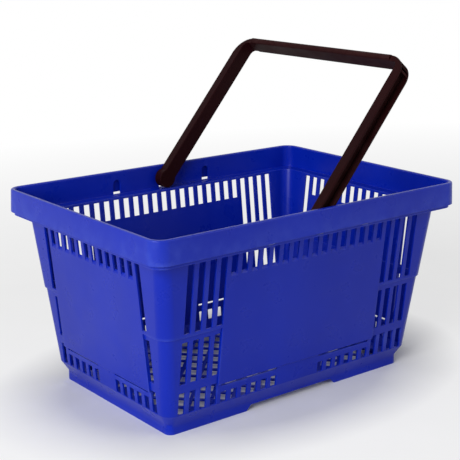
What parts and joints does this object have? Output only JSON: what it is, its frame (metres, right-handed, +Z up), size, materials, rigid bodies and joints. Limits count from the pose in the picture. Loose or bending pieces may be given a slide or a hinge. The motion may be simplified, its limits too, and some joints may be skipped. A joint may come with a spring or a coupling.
{
  "type": "shopping basket",
  "caption": "Rectangular hand shopping basket with slotted, drafted plastic walls, a rolled rim and one swinging bail handle.",
  "frame": {"origin": "centre of the footprint, on the surface the basket stands on", "axes": "+X along the long side, towards the end the handle leans to; +Y across the basket; +Z up"},
  "size_m": [0.432, 0.303, 0.3801],
  "materials": {
    "tub": "satin moulded polypropylene, blue",
    "handle": "satin moulded polypropylene, brown-black"
  },
  "bodies": {
    "basket": {"tub": "tub"},
    "bail": {"handle": "handle"}
  },
  "joints": [
    {"name": "handle_swing", "type": "hinge", "parent": "basket", "child": "bail", "pos_m": [0, 0, 0.21325], "axis": [0, 1, 0], "range_deg": [-129.6, 49.8]}
  ]
}
